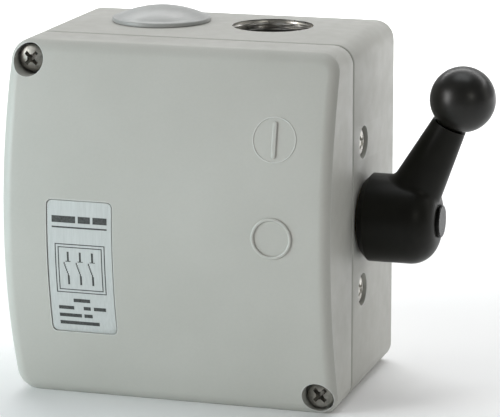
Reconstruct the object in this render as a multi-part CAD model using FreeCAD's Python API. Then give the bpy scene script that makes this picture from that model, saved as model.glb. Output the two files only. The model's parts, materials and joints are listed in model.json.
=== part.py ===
import FreeCAD, Part
import math
import os

# Rotary isolator switch in a die-cast enclosure, with a lever handle on its right-hand side.
# Millimetres. Origin: centre of the rear mounting face. +Y goes into the wall, -Y is the front,
# +X is the lever side and +Z is up.

# Enclosure
WIDTH = 95.0
HEIGHT = 102.0
CORNER_R = 5.5
BASE_DEPTH = 45.1
BASE_WALL = 3.2
BACK_WALL = 4.0
SEAM_GAP = 1.0
COVER_DEPTH = 71.0
COVER_WALL = 2.8
CROWN_R = 123.0
FRONT_FILLET = 2.6
RIM_CHAMFER = 0.5
GASKET_INSET = 0.9
GASKET_BAND = 1.8

# Cover screws, at two opposite corners
COVER_SCREW_X = 42.0
COVER_SCREW_Z = 45.5
COVER_POST_R = 5.2
COUNTERBORE_R = 4.5
COUNTERBORE_FLOOR_Y = -56.0
COVER_SCREW_HEAD_R = 3.9
COVER_SCREW_HEAD = 3.0
COVER_SCREW_R = 2.45
COVER_THREAD_LENGTH = 16.0
COVER_SEAL = 0.8
COVER_SCREW_CORNERS = ((-1, 1), (1, -1))

# Cable entries in the top, M25 x 1.5: the right one is open, the left one has a blanking plug
OPEN_ENTRY_X = 16.2
PLUG_ENTRY_X = -17.4
ENTRY_Y = -18.4
ENTRY_R = 11.7
ENTRY_BOSS_R = 15.0
ENTRY_LENGTH = 10.0
ENTRY_CHAMFER = 0.3
PLUG_FLANGE_R = 14.3
PLUG_RIM = 1.3
PLUG_DOME = 3.1
PLUG_DOME_STEP = 0.8
PLUG_SHANK = 8.0
PLUG_WALL = 2.5
PLUG_GROOVE = 0.8
PLUG_LIP = 0.9
PLUG_SEAL_GAP = 0.05

# Wall fixing holes in the back
FIXING_X = 33.0
FIXING_Z = 36.0
FIXING_R = 2.6

# Marks and nameplate on the crowned front
MARK_X = 31.2
MARK_ON_Z = 28.0
MARK_OFF_Z = 1.2
MARK_RAISED = 0.45
MARK_RING_R = 5.8
MARK_LINE = 0.9
MARK_BAR = 9.8
MARK_BAR_WIDTH = 1.3
MARK_ROOT = 0.3
FINE_RING_RAISED = 0.12
FINE_RING_R = 6.2
FINE_RING_LINE = 0.3
PLATE_X = -24.4
PLATE_Z = -11.2
PLATE_WIDTH = 19.2
PLATE_HEIGHT = 38.6
PLATE_CORNER_R = 1.6
PLATE_GAP = 0.15
PLATE_RECESS = 0.6
PLATE_THICK = 0.5

# Shaft line, along X
SHAFT_Y = -34.5
SHAFT_Z = 0.5
SHAFT_R = 5.0
SQUARE = 7.0
RUN_FIT = 0.05
WALL_IN = WIDTH / 2 - BASE_WALL
WALL_OUT = WIDTH / 2
SHAFT_TIP_X = 62.0
BUSH_R = 9.0
BUSH_INNER_X = WALL_IN - 2.0
SEAL_R = 7.4
SEAL_WIDTH = 1.7
SEAL_LIP = 0.4
PILOT_R = 3.0
CIRCLIP_X = 38.8
CIRCLIP_THICK = 1.0
CIRCLIP_R = 6.6
CIRCLIP_GROOVE_R = 4.3
CIRCLIP_MOUTH = 3.2

# Side fixing screws, which hold the switch mechanism to the side wall
SIDE_SCREW_Z = 21.3
SIDE_PAD_X = 40.3
SIDE_PAD_HALF_Y = 7.5
SIDE_PAD_HALF_Z = 6.3
SIDE_RECESS_R = 4.7
SIDE_RECESS_X = 44.0
SIDE_SCREW_R = 1.95
SIDE_HEAD_R = 3.9
SIDE_HEAD = 2.3
SIDE_SEAL = 0.8
SIDE_SCREW_END_X = 33.0

# Switch mechanism, stacked along X behind the side wall
BLOCK_HALF_Y = 16.5
BLOCK_HALF_Z = 28.0
EAR_Z = 14.8
LATCH_X = 30.3
POLE_PITCH = 10.0
POLES = 3
END_PLATE = 3.0
END_PLATE_CHAMFER = 0.8
CAVITY_R = 14.5
WEB = 1.5
ROTOR_R = 8.5
ROTOR_CORE_R = 6.2
BLADE = 1.0
BLADE_GAP = 1.3
BLADE_TIP_R = 13.5
BLADE_WIDTH = 6.0
CONTACT = 1.2
CONTACT_R = 9.5
TIE_Y = 13.6
TIE_Z = 14.5
TIE_R = 1.5
TIE_HEAD_R = 2.7
TIE_HEAD = 1.8
POCKET_Z = 18.0
POCKET_WIDTH = 7.0
POCKET_FLOOR_Y = -6.0
TERMINAL_Z = 23.0
TERMINAL_SCREW_R = 1.9
TERMINAL_HEAD_R = 2.9
TERMINAL_HEAD = 2.2
TERMINAL_SCREW_LENGTH = 6.0
CLAMP_HALF = 3.2
CLAMP_THICK = 1.4
CLAMP_GROOVE_HALF = 2.4

# Detent
WHEEL_R = 10.0
WHEEL_X = 31.3
WHEEL_THICK = 5.0
NOTCH_R = 2.3
LEAF_OFFSET = 11.45
LEAF_THICK = 0.5
LEAF_BUMP_R = 2.2
LEAF_HALF_Z = 12.0
DETENT_BOX = 12.3
LUG_R = 11.6
LUG_HUB_R = 8.0
LUG_THICK = 1.9
LUG_ANGLE = 22.0
LUG_REST_ANGLE = 45.0
THROW_ANGLE = 90.0
STOP_SLACK = 1.0

# Lever handle
HUB_R = 12.5
HUB_START_X = 48.2
HUB_END_X = 69.5
HUB_CHAMFER = 2.0
HUB_ROUND = 7.6
ARM_LEAN = 26.1
ARM_BASE_X = 58.6
ARM_BASE_R = 8.5
ARM_TIP_R = 5.0
ARM_LENGTH = 30.6
ARM_BLEND = 3.0
BALL_R = 9.2
BALL_DISTANCE = 39.0
STUD_R = 2.4
STUD_START = 20.0
STUD_END = 42.0
LEVER_SCREW_SEAT_X = 64.5
LEVER_SCREW_HEAD_R = 3.5
LEVER_SCREW_HEAD = 2.6
LEVER_SCREW_R = 1.95
LEVER_SCREW_END_X = 52.0
CAP_R = 4.7
CAP_PROUD = 1.0
CAP_DEPTH = 1.6
CAP_CHAMFER = 0.3

# Earth terminal on the back wall
EARTH_X = -30.0
EARTH_Z = -20.0
EARTH_BOSS_R = 5.0
EARTH_BOSS = 6.0
EARTH_SCREW_R = 1.95
EARTH_HEAD_R = 3.6
EARTH_HEAD = 2.6
EARTH_SCREW_LENGTH = 7.0
EARTH_CLAMP_HALF = 4.4
EARTH_CLAMP = 1.6
EARTH_GROOVE_HALF = 3.4

# Screw heads, as shares of the head's own height or radius
HEAD_ROUND = 0.35
RECESS_WIDTH = 1.05
RECESS_DEPTH = 0.6
RECESS_SLOT = 0.24

CLEAR = 0.1
FAR = 200.0

X_AXIS = FreeCAD.Vector(1, 0, 0)
Y_AXIS = FreeCAD.Vector(0, 1, 0)
Z_AXIS = FreeCAD.Vector(0, 0, 1)


def vec(x, y, z):
    return FreeCAD.Vector(x, y, z)


def box(x0, x1, y0, y1, z0, z1):
    """Box between two corners."""
    return Part.makeBox(x1 - x0, y1 - y0, z1 - z0, vec(x0, y0, z0))


def rod_x(y, z, radius, x0, x1):
    """Cylinder along X."""
    return Part.makeCylinder(radius, x1 - x0, vec(x0, y, z), X_AXIS)


def rod_y(x, z, radius, y0, y1):
    """Cylinder along Y."""
    return Part.makeCylinder(radius, y1 - y0, vec(x, y0, z), Y_AXIS)


def rod_z(x, y, radius, z0, z1):
    """Cylinder along Z."""
    return Part.makeCylinder(radius, z1 - z0, vec(x, y, z0), Z_AXIS)


def shaft_rod(radius, x0, x1):
    """Cylinder on the shaft line."""
    return rod_x(SHAFT_Y, SHAFT_Z, radius, x0, x1)


def shaft_square(side, x0, x1):
    """Square bar on the shaft line."""
    half = side / 2
    return shaft_box(x0, x1, -half, half, -half, half)


def shaft_box(x0, x1, y0, y1, z0, z1):
    """Box whose Y and Z are counted from the shaft line."""
    return box(x0, x1, SHAFT_Y + y0, SHAFT_Y + y1, SHAFT_Z + z0, SHAFT_Z + z1)


def shaft_ring(outer, inner, x0, x1):
    """Flat ring on the shaft line."""
    return shaft_rod(outer, x0, x1).cut(shaft_rod(inner, x0 - 1, x1 + 1))


def shaft_sector(radius, x0, x1, start, sweep):
    """Pie slice about the shaft line; angles count from +Z towards -Y."""
    slice_start = vec(0, -math.sin(math.radians(start)), math.cos(math.radians(start)))
    mid_angle = math.radians(start + sweep / 2)
    slice_mid = vec(0, -math.sin(mid_angle), math.cos(mid_angle))
    end_angle = math.radians(start + sweep)
    slice_end = vec(0, -math.sin(end_angle), math.cos(end_angle))
    centre = vec(x0, SHAFT_Y, SHAFT_Z)
    points = [centre + slice_start * radius, centre + slice_mid * radius, centre + slice_end * radius]
    rim = Part.Arc(*points).toShape()
    edges = [Part.makeLine(centre, points[0]), rim, Part.makeLine(points[2], centre)]
    return Part.Face(Part.Wire(edges)).extrude(X_AXIS * (x1 - x0))


def fuse(shapes):
    """One solid from several that touch or overlap."""
    return shapes[0].multiFuse(shapes[1:]).removeSplitter()


def rounded_prism(width, height, radius, y0, y1, x=0.0, z=0.0):
    """Bar along Y whose section is a rectangle with rounded corners."""
    solid = box(x - width / 2, x + width / 2, y0, y1, z - height / 2, z + height / 2)
    corners = [edge for edge in solid.Edges if abs(edge.tangentAt(edge.FirstParameter).y) > 0.9]
    return solid.makeFillet(radius, corners)


def crown_y(z, inset=0.0):
    """Y of the crowned front, or of its offset inwards, at height z."""
    return CROWN_R - COVER_DEPTH - math.sqrt((CROWN_R - inset) ** 2 - z * z)


def crown_block(inset, back_y):
    """Everything between back_y and the crowned front, which curves about an X axis."""
    half = HEIGHT / 2 + 5
    low = vec(-FAR / 2, crown_y(half, inset), -half)
    middle = vec(-FAR / 2, crown_y(0, inset), 0)
    high = vec(-FAR / 2, crown_y(half, inset), half)
    back_low = vec(-FAR / 2, back_y, -half)
    back_high = vec(-FAR / 2, back_y, half)
    front = Part.Arc(low, middle, high).toShape()
    sides = [Part.makeLine(high, back_high), Part.makeLine(back_high, back_low),
             Part.makeLine(back_low, low)]
    return Part.Face(Part.Wire([front] + sides)).extrude(X_AXIS * FAR)


def chamfer_rim(solid, y, size):
    """Breaks the outer edge of a rim that lies at one Y."""
    rim = [edge for edge in solid.Edges
           if abs(edge.BoundBox.YMin - y) < 0.01 and abs(edge.BoundBox.YMax - y) < 0.01
           and on_outline(edge)]
    return solid.makeChamfer(size, rim)


def on_outline(edge):
    """True for an edge on the enclosure's outer side faces."""
    point = edge.valueAt((edge.FirstParameter + edge.LastParameter) / 2)
    side = abs(abs(point.x) - WIDTH / 2) < 0.01 or abs(abs(point.z) - HEIGHT / 2) < 0.01
    corner_x = abs(point.x) - (WIDTH / 2 - CORNER_R)
    corner_z = abs(point.z) - (HEIGHT / 2 - CORNER_R)
    corner = corner_x > 0 and corner_z > 0 and abs(math.hypot(corner_x, corner_z) - CORNER_R) < 0.01
    return side or corner


def cross_recess(axis, tip, head, width, depth):
    """Cross-shaped recess cut from the face of a screw head; axis points out of the head."""
    slot = width * RECESS_SLOT
    across = Z_AXIS.cross(axis)
    arms = []
    for long_side, short_side in ((Z_AXIS, across), (across, Z_AXIS)):
        corner = tip - long_side * (width / 2) - short_side * (slot / 2) - axis * depth
        points = [corner, corner + long_side * width, corner + long_side * width + short_side * slot,
                  corner + short_side * slot]
        face = Part.Face(Part.makePolygon(points + [corner]))
        arms.append(face.extrude(axis * (depth + head)))
    return fuse(arms)


def domed_screw(axis, seat, head_r, head, shank_r, length):
    """Pan-head screw with a cross recess; seat is under the head, axis points out of the head."""
    body = Part.makeCylinder(head_r, head, seat, axis)
    rim = [edge for edge in body.Edges if edge.Closed and (edge.CenterOfMass - seat).dot(axis) > head / 2]
    body = body.makeFillet(head * HEAD_ROUND, rim)
    tip = seat + axis * head
    body = body.cut(cross_recess(axis, tip, head, head_r * RECESS_WIDTH, head * RECESS_DEPTH))
    shank = Part.makeCylinder(shank_r, length, seat, axis * -1)
    return body.fuse(shank)


def corner_spots():
    return [(sx * COVER_SCREW_X, sz * COVER_SCREW_Z) for sx, sz in COVER_SCREW_CORNERS]


def side_spots():
    return [SHAFT_Z + SIDE_SCREW_Z, SHAFT_Z - SIDE_SCREW_Z]


# Enclosure ---------------------------------------------------------------------------------

def base_housing():
    outer = rounded_prism(WIDTH, HEIGHT, CORNER_R, -BASE_DEPTH, 0)
    inside_r = CORNER_R - BASE_WALL
    solid = outer.cut(rounded_prism(WIDTH - 2 * BASE_WALL, HEIGHT - 2 * BASE_WALL, inside_r,
                                    -BASE_DEPTH - 1, -BACK_WALL))
    added = []
    for x, z in corner_spots():
        added.append(rod_y(x, z, COVER_POST_R, -BASE_DEPTH, -1))
    for x in (PLUG_ENTRY_X, OPEN_ENTRY_X):
        added.append(rod_z(x, ENTRY_Y, ENTRY_BOSS_R, HEIGHT / 2 - ENTRY_LENGTH, HEIGHT / 2 - 1))
    for z in side_spots():
        added.append(box(SIDE_PAD_X, WALL_OUT - 1, SHAFT_Y - SIDE_PAD_HALF_Y, SHAFT_Y + SIDE_PAD_HALF_Y,
                         z - SIDE_PAD_HALF_Z, z + SIDE_PAD_HALF_Z))
    added.append(rod_y(EARTH_X, EARTH_Z, EARTH_BOSS_R, -BACK_WALL - EARTH_BOSS, -1))
    solid = fuse([solid] + [piece.common(outer) for piece in added])
    solid = chamfer_rim(solid, -BASE_DEPTH, RIM_CHAMFER)
    cuts = []
    for x in (PLUG_ENTRY_X, OPEN_ENTRY_X):
        cuts.append(rod_z(x, ENTRY_Y, ENTRY_R, 0, HEIGHT))
        mouth = vec(x, ENTRY_Y, HEIGHT / 2 - ENTRY_CHAMFER)
        cuts.append(Part.makeCone(ENTRY_R, ENTRY_R + ENTRY_CHAMFER, ENTRY_CHAMFER, mouth, Z_AXIS))
    thread_end_y = -BASE_DEPTH + COVER_THREAD_LENGTH + 2
    for x, z in corner_spots():
        cuts.append(rod_y(x, z, COVER_SCREW_R + RUN_FIT, -BASE_DEPTH - 1, thread_end_y))
    for z in side_spots():
        cuts.append(rod_x(SHAFT_Y, z, SIDE_RECESS_R, SIDE_RECESS_X, WALL_OUT + 1))
        cuts.append(rod_x(SHAFT_Y, z, SIDE_SCREW_R + CLEAR, SIDE_PAD_X - 1, SIDE_RECESS_X + 1))
    for x in (-FIXING_X, FIXING_X):
        for z in (-FIXING_Z, FIXING_Z):
            cuts.append(rod_y(x, z, FIXING_R, -BACK_WALL - 1, 1))
    cuts.append(shaft_rod(BUSH_R, WALL_IN - 1, WALL_OUT + 1))
    cuts.append(rod_y(EARTH_X, EARTH_Z, EARTH_SCREW_R + RUN_FIT, -FAR, -BACK_WALL + 1))
    return solid.cut(cuts[0].multiFuse(cuts[1:]))


def front_cover():
    rim_y = -BASE_DEPTH - SEAM_GAP
    outline = rounded_prism(WIDTH, HEIGHT, CORNER_R, -FAR, rim_y)
    outer = outline.common(crown_block(0, rim_y))
    front_edges = [edge for edge in outer.Edges if edge.BoundBox.YMin < rim_y - COVER_WALL
                   and abs(edge.tangentAt(edge.FirstParameter).y) < 0.99 and on_outline(edge)]
    outer = outer.makeFillet(FRONT_FILLET, front_edges)
    inner_outline = rounded_prism(WIDTH - 2 * COVER_WALL, HEIGHT - 2 * COVER_WALL, CORNER_R - COVER_WALL,
                                  -FAR, rim_y + 1)
    inner = inner_outline.common(crown_block(COVER_WALL, rim_y + 1))
    solid = outer.cut(inner)
    posts = [rod_y(x, z, COVER_POST_R + 1, -COVER_DEPTH, rim_y).common(outer) for x, z in corner_spots()]
    solid = fuse([solid] + posts)
    solid = chamfer_rim(solid, rim_y, RIM_CHAMFER)
    for x, z in corner_spots():
        solid = solid.cut(rod_y(x, z, COUNTERBORE_R, -FAR, COUNTERBORE_FLOOR_Y))
        solid = solid.cut(rod_y(x, z, COVER_SCREW_R + 2 * CLEAR, -FAR, 0))
    recess = rounded_prism(PLATE_WIDTH, PLATE_HEIGHT, PLATE_CORNER_R,
                           -FAR, -COVER_DEPTH / 2, PLATE_X, PLATE_Z)
    solid = solid.cut(recess.cut(crown_block(PLATE_RECESS, 0)))
    return fuse([solid] + cover_marks())


def mark_relief(height):
    """Thin skin that stands on the crowned front."""
    return crown_block(-height, 0).cut(crown_block(MARK_ROOT, 1))


def cover_marks():
    """Raised bar for on and raised ring for off, with a fine ring round the bar."""
    relief = mark_relief(MARK_RAISED)
    bar = rounded_prism(MARK_BAR_WIDTH, MARK_BAR, MARK_BAR_WIDTH * 0.45, -FAR, -1, MARK_X, MARK_ON_Z)
    ring = rod_y(MARK_X, MARK_OFF_Z, MARK_RING_R, -FAR, -1)
    ring = ring.cut(rod_y(MARK_X, MARK_OFF_Z, MARK_RING_R - MARK_LINE, -FAR, 0))
    fine = rod_y(MARK_X, MARK_ON_Z, FINE_RING_R, -FAR, -1)
    fine = fine.cut(rod_y(MARK_X, MARK_ON_Z, FINE_RING_R - FINE_RING_LINE, -FAR, 0))
    return [relief.common(bar), relief.common(ring), mark_relief(FINE_RING_RAISED).common(fine)]


def cover_gasket():
    outer = rounded_prism(WIDTH - 2 * GASKET_INSET, HEIGHT - 2 * GASKET_INSET, CORNER_R - GASKET_INSET,
                          -BASE_DEPTH - SEAM_GAP, -BASE_DEPTH)
    inner_inset = GASKET_INSET + GASKET_BAND
    inner = rounded_prism(WIDTH - 2 * inner_inset, HEIGHT - 2 * inner_inset, CORNER_R - inner_inset,
                          -BASE_DEPTH - 1, -BASE_DEPTH + 1)
    return outer.cut(inner)


def cover_screws():
    seat_y = COUNTERBORE_FLOOR_Y - COVER_SEAL
    length = -BASE_DEPTH + COVER_THREAD_LENGTH - seat_y
    return [domed_screw(Y_AXIS * -1, vec(x, seat_y, z), COVER_SCREW_HEAD_R, COVER_SCREW_HEAD,
                        COVER_SCREW_R, length)
            for x, z in corner_spots()]


def cover_screw_seals():
    seals = []
    for x, z in corner_spots():
        disc = rod_y(x, z, COVER_SCREW_HEAD_R - 2 * CLEAR, COUNTERBORE_FLOOR_Y - COVER_SEAL,
                     COUNTERBORE_FLOOR_Y)
        seals.append(disc.cut(rod_y(x, z, COVER_SCREW_R + RUN_FIT, -FAR, 0)))
    return seals


def nameplate():
    plate = rounded_prism(PLATE_WIDTH - 2 * PLATE_GAP, PLATE_HEIGHT - 2 * PLATE_GAP, PLATE_CORNER_R,
                          -FAR, -COVER_DEPTH / 2, PLATE_X, PLATE_Z)
    return plate.common(crown_block(PLATE_RECESS - PLATE_THICK, 0)).cut(crown_block(PLATE_RECESS, 1))


def plug_rod(radius, z0, z1):
    """Cylinder on the plugged entry's line."""
    return rod_z(PLUG_ENTRY_X, ENTRY_Y, radius, z0, z1)


def blanking_plug():
    top = HEIGHT / 2
    rim = plug_rod(PLUG_FLANGE_R, top, top + PLUG_RIM)
    dome_r = (PLUG_DOME ** 2 + (PLUG_FLANGE_R - PLUG_DOME_STEP) ** 2) / (2 * PLUG_DOME)
    dome = Part.makeSphere(dome_r, vec(PLUG_ENTRY_X, ENTRY_Y, top + PLUG_RIM + PLUG_DOME - dome_r))
    dome = dome.common(plug_rod(PLUG_FLANGE_R, top + PLUG_RIM, top + FAR))
    shank = plug_rod(ENTRY_R - RUN_FIT, top - PLUG_SHANK, top)
    solid = fuse([rim, dome, shank])
    solid = solid.cut(plug_rod(ENTRY_R - PLUG_WALL, top - PLUG_SHANK - 1, top))
    groove = plug_rod(PLUG_FLANGE_R - PLUG_LIP, top - 1, top + PLUG_GROOVE)
    return solid.cut(groove.cut(plug_rod(ENTRY_R + ENTRY_CHAMFER, 0, FAR)))


def blanking_plug_seal():
    top = HEIGHT / 2
    ring = plug_rod(PLUG_FLANGE_R - PLUG_LIP - PLUG_SEAL_GAP, top, top + PLUG_GROOVE - PLUG_SEAL_GAP)
    return ring.cut(plug_rod(ENTRY_R + ENTRY_CHAMFER + PLUG_SEAL_GAP, 0, FAR))


def earth_screw():
    seat = vec(EARTH_X, -BACK_WALL - EARTH_BOSS - EARTH_CLAMP, EARTH_Z)
    return domed_screw(Y_AXIS * -1, seat, EARTH_HEAD_R, EARTH_HEAD, EARTH_SCREW_R, EARTH_SCREW_LENGTH)


def grooved_clamp(x, z, y1, thick, half, groove_half, screw_r):
    """Square clamp plate whose rear face, at y1, has a shallow channel for a wire."""
    y0 = y1 - thick
    plate = box(x - half, x + half, y0, y1, z - half, z + half)
    channel = box(x - half - 1, x + half + 1, y0 + thick / 2, y1 + 1, z - groove_half, z + groove_half)
    plate = plate.cut(channel)
    return plate.cut(rod_y(x, z, screw_r + CLEAR, -FAR, 0))


def earth_clamp():
    return grooved_clamp(EARTH_X, EARTH_Z, -BACK_WALL - EARTH_BOSS, EARTH_CLAMP, EARTH_CLAMP_HALF,
                         EARTH_GROOVE_HALF, EARTH_SCREW_R)


# Shaft, bearing and lever --------------------------------------------------------------------

def switch_shaft():
    inner_end = LATCH_X - POLES * POLE_PITCH
    journal_start = CIRCLIP_X - 3 * CLEAR
    square = shaft_square(SQUARE, inner_end, journal_start)
    pilot = shaft_rod(PILOT_R, inner_end - END_PLATE + 2 * CLEAR, inner_end)
    journal = shaft_rod(SHAFT_R, journal_start, HUB_START_X)
    journal = journal.cut(shaft_ring(SHAFT_R + 1, CIRCLIP_GROOVE_R, CIRCLIP_X, CIRCLIP_X + CIRCLIP_THICK))
    outer = shaft_square(SQUARE, HUB_START_X, SHAFT_TIP_X)
    solid = fuse([square, pilot, journal, outer])
    return solid.cut(shaft_rod(LEVER_SCREW_R + RUN_FIT, LEVER_SCREW_END_X - 1, SHAFT_TIP_X + 1))


def shaft_bush():
    sleeve = shaft_ring(BUSH_R, SHAFT_R + RUN_FIT, WALL_IN, WALL_OUT)
    collar = shaft_ring(SEAL_R + SEAL_LIP, SHAFT_R + RUN_FIT, BUSH_INNER_X, WALL_IN)
    return sleeve.fuse(collar).removeSplitter()


def shaft_seal():
    return shaft_ring(SEAL_R, SHAFT_R + RUN_FIT, BUSH_INNER_X - SEAL_WIDTH, BUSH_INNER_X)


def shaft_circlip():
    ring = shaft_ring(CIRCLIP_R, CIRCLIP_GROOVE_R, CIRCLIP_X + CLEAR, CIRCLIP_X + CIRCLIP_THICK - CLEAR)
    return ring.cut(shaft_box(0, FAR, -CIRCLIP_MOUTH / 2, CIRCLIP_MOUTH / 2, 0, CIRCLIP_R + 1))


def arm_direction():
    return vec(math.sin(math.radians(ARM_LEAN)), 0, math.cos(math.radians(ARM_LEAN)))


def arm_point(distance):
    return vec(ARM_BASE_X, SHAFT_Y, SHAFT_Z) + arm_direction() * distance


def where_arm_meets_hub(solid, edge):
    """True for an edge between the tapered arm and a curved face of the hub."""
    faces = solid.ancestorsOfType(edge, Part.Face)
    on_arm = [face for face in faces if isinstance(face.Surface, Part.Cone)
              and abs(face.Surface.Axis.dot(arm_direction())) > 0.99]
    flat = [face for face in faces if isinstance(face.Surface, Part.Plane)]
    return len(faces) == 2 and len(on_arm) == 1 and not flat


def circles_at_x(solid, x):
    return [edge for edge in solid.Edges if edge.Closed and abs(edge.CenterOfMass.x - x) < 0.01]


def lever_handle():
    hub = shaft_rod(HUB_R, HUB_START_X, HUB_END_X)
    hub = hub.makeChamfer(HUB_CHAMFER, circles_at_x(hub, HUB_START_X))
    hub = hub.makeFillet(HUB_ROUND, circles_at_x(hub, HUB_END_X))
    arm = Part.makeCone(ARM_BASE_R, ARM_TIP_R, ARM_LENGTH, arm_point(0), arm_direction())
    solid = fuse([hub, arm])
    solid = solid.makeFillet(ARM_BLEND, [edge for edge in solid.Edges if where_arm_meets_hub(solid, edge)])
    solid = solid.cut(shaft_square(SQUARE + RUN_FIT, HUB_START_X - 1, SHAFT_TIP_X + 2 * CLEAR))
    solid = solid.cut(shaft_rod(LEVER_SCREW_R + CLEAR, HUB_START_X, HUB_END_X + 1))
    solid = solid.cut(shaft_rod(CAP_R, LEVER_SCREW_SEAT_X, FAR))
    return solid.cut(Part.makeCylinder(STUD_R + RUN_FIT, FAR, arm_point(STUD_START), arm_direction()))


def ball_knob():
    ball = Part.makeSphere(BALL_R, arm_point(BALL_DISTANCE))
    below = Part.makeCylinder(BALL_R * 2, ARM_LENGTH, arm_point(0), arm_direction())
    socket_length = STUD_END - ARM_LENGTH + 0.5
    socket = Part.makeCylinder(STUD_R + RUN_FIT, socket_length, arm_point(ARM_LENGTH), arm_direction())
    return ball.cut(below).cut(socket)


def knob_stud():
    return Part.makeCylinder(STUD_R, STUD_END - STUD_START, arm_point(STUD_START), arm_direction())


def lever_screw():
    seat = vec(LEVER_SCREW_SEAT_X, SHAFT_Y, SHAFT_Z)
    return domed_screw(X_AXIS, seat, LEVER_SCREW_HEAD_R, LEVER_SCREW_HEAD, LEVER_SCREW_R,
                       LEVER_SCREW_SEAT_X - LEVER_SCREW_END_X)


def lever_cap():
    cap = shaft_rod(CAP_R - RUN_FIT, HUB_END_X - CAP_DEPTH, HUB_END_X + CAP_PROUD)
    return cap.makeChamfer(CAP_CHAMFER, circles_at_x(cap, HUB_END_X + CAP_PROUD))


def side_fixing_screws():
    seat_x = SIDE_RECESS_X + SIDE_SEAL
    return [domed_screw(X_AXIS, vec(seat_x, SHAFT_Y, z), SIDE_HEAD_R, SIDE_HEAD, SIDE_SCREW_R,
                        seat_x - SIDE_SCREW_END_X) for z in side_spots()]


def side_screw_seals():
    seals = []
    for z in side_spots():
        disc = rod_x(SHAFT_Y, z, SIDE_HEAD_R, SIDE_RECESS_X, SIDE_RECESS_X + SIDE_SEAL)
        seals.append(disc.cut(rod_x(SHAFT_Y, z, SIDE_SCREW_R + RUN_FIT, 0, FAR)))
    return seals


# Switch mechanism ----------------------------------------------------------------------------

def tie_spots():
    return [(sy * TIE_Y, sz * TIE_Z) for sy in (-1, 1) for sz in (-1, 1)]


def tie_holes(x0, x1):
    return [rod_x(SHAFT_Y + y, SHAFT_Z + z, TIE_R + CLEAR, x0, x1) for y, z in tie_spots()]


def latch_housing():
    wheel_end = WHEEL_X + WHEEL_THICK + CLEAR
    gap = 3 * CLEAR
    lug_end = wheel_end + LUG_THICK + CLEAR
    block = shaft_box(LATCH_X, SIDE_PAD_X, -BLOCK_HALF_Y, BLOCK_HALF_Y, -BLOCK_HALF_Z, BLOCK_HALF_Z)
    nose = shaft_box(SIDE_PAD_X, WALL_IN, -BLOCK_HALF_Y, BLOCK_HALF_Y, -EAR_Z, EAR_Z)
    solid = fuse([block, nose])
    sweep = THROW_ANGLE + LUG_ANGLE + 2 * STOP_SLACK
    start = LUG_REST_ANGLE - LUG_ANGLE / 2 - STOP_SLACK
    cuts = [
        shaft_box(LATCH_X - 1, wheel_end, -DETENT_BOX, DETENT_BOX, -DETENT_BOX, DETENT_BOX),
        shaft_rod(LUG_HUB_R + gap, wheel_end - 1, lug_end),
        shaft_sector(LUG_R + gap, wheel_end - 1, lug_end, start, sweep),
        shaft_rod(CIRCLIP_R + 2 * gap, lug_end - 1, CIRCLIP_X + CIRCLIP_THICK + CLEAR),
        shaft_rod(SHAFT_R + CLEAR, LATCH_X, WALL_IN + 1),
        shaft_rod(SEAL_R, BUSH_INNER_X - SEAL_WIDTH, BUSH_INNER_X),
        shaft_rod(SEAL_R + SEAL_LIP, BUSH_INNER_X, WALL_IN + 1),
    ]
    cuts += tie_holes(LATCH_X - 1, SIDE_PAD_X - 1)
    for z in side_spots():
        cuts.append(rod_x(SHAFT_Y, z, SIDE_SCREW_R + RUN_FIT, SIDE_SCREW_END_X - 1, SIDE_PAD_X + 1))
    return solid.cut(cuts[0].multiFuse(cuts[1:]))


def detent_wheel():
    wheel = shaft_rod(WHEEL_R, WHEEL_X, WHEEL_X + WHEEL_THICK)
    hub = shaft_rod(LUG_HUB_R, WHEEL_X + WHEEL_THICK, WHEEL_X + WHEEL_THICK + LUG_THICK)
    lug = shaft_sector(LUG_R, WHEEL_X + WHEEL_THICK, WHEEL_X + WHEEL_THICK + LUG_THICK,
                       LUG_REST_ANGLE - LUG_ANGLE / 2, LUG_ANGLE)
    solid = fuse([wheel, hub, lug])
    notches = [rod_x(SHAFT_Y + y * LEAF_OFFSET, SHAFT_Z + z * LEAF_OFFSET, NOTCH_R, WHEEL_X - 1,
                     WHEEL_X + WHEEL_THICK) for y, z in ((1, 0), (-1, 0), (0, 1), (0, -1))]
    solid = solid.cut(notches[0].multiFuse(notches[1:]))
    return solid.cut(shaft_square(SQUARE + RUN_FIT, 0, FAR))


def detent_springs():
    """Two leaf springs, each with one rounded bump that drops into a wheel notch."""
    x0 = WHEEL_X + 2 * CLEAR
    x1 = WHEEL_X + WHEEL_THICK - 2 * CLEAR
    springs = []
    for side in (-1, 1):
        centre_y = SHAFT_Y + side * LEAF_OFFSET
        leaf = box(x0, x1, centre_y - LEAF_THICK / 2, centre_y + LEAF_THICK / 2,
                   SHAFT_Z - LEAF_HALF_Z, SHAFT_Z + LEAF_HALF_Z)
        bump = rod_x(centre_y, SHAFT_Z, LEAF_BUMP_R, x0, x1)
        hollow = rod_x(centre_y, SHAFT_Z, LEAF_BUMP_R - LEAF_THICK, x0 - 1, x1 + 1)
        wheel_side = centre_y - side * LEAF_BUMP_R
        half = box(x0, x1, min(wheel_side, centre_y), max(wheel_side, centre_y),
                   SHAFT_Z - LEAF_BUMP_R, SHAFT_Z + LEAF_BUMP_R)
        springs.append(fuse([leaf, bump.common(half)]).cut(hollow))
    return springs


def pole_x(pole):
    """Inner face of a pole's chamber; poles count inwards from the latch housing."""
    return LATCH_X - (pole + 1) * POLE_PITCH


def contact_x(pole):
    """Middle plane of a pole's contacts."""
    return pole_x(pole) + (POLE_PITCH - WEB) / 2


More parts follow.
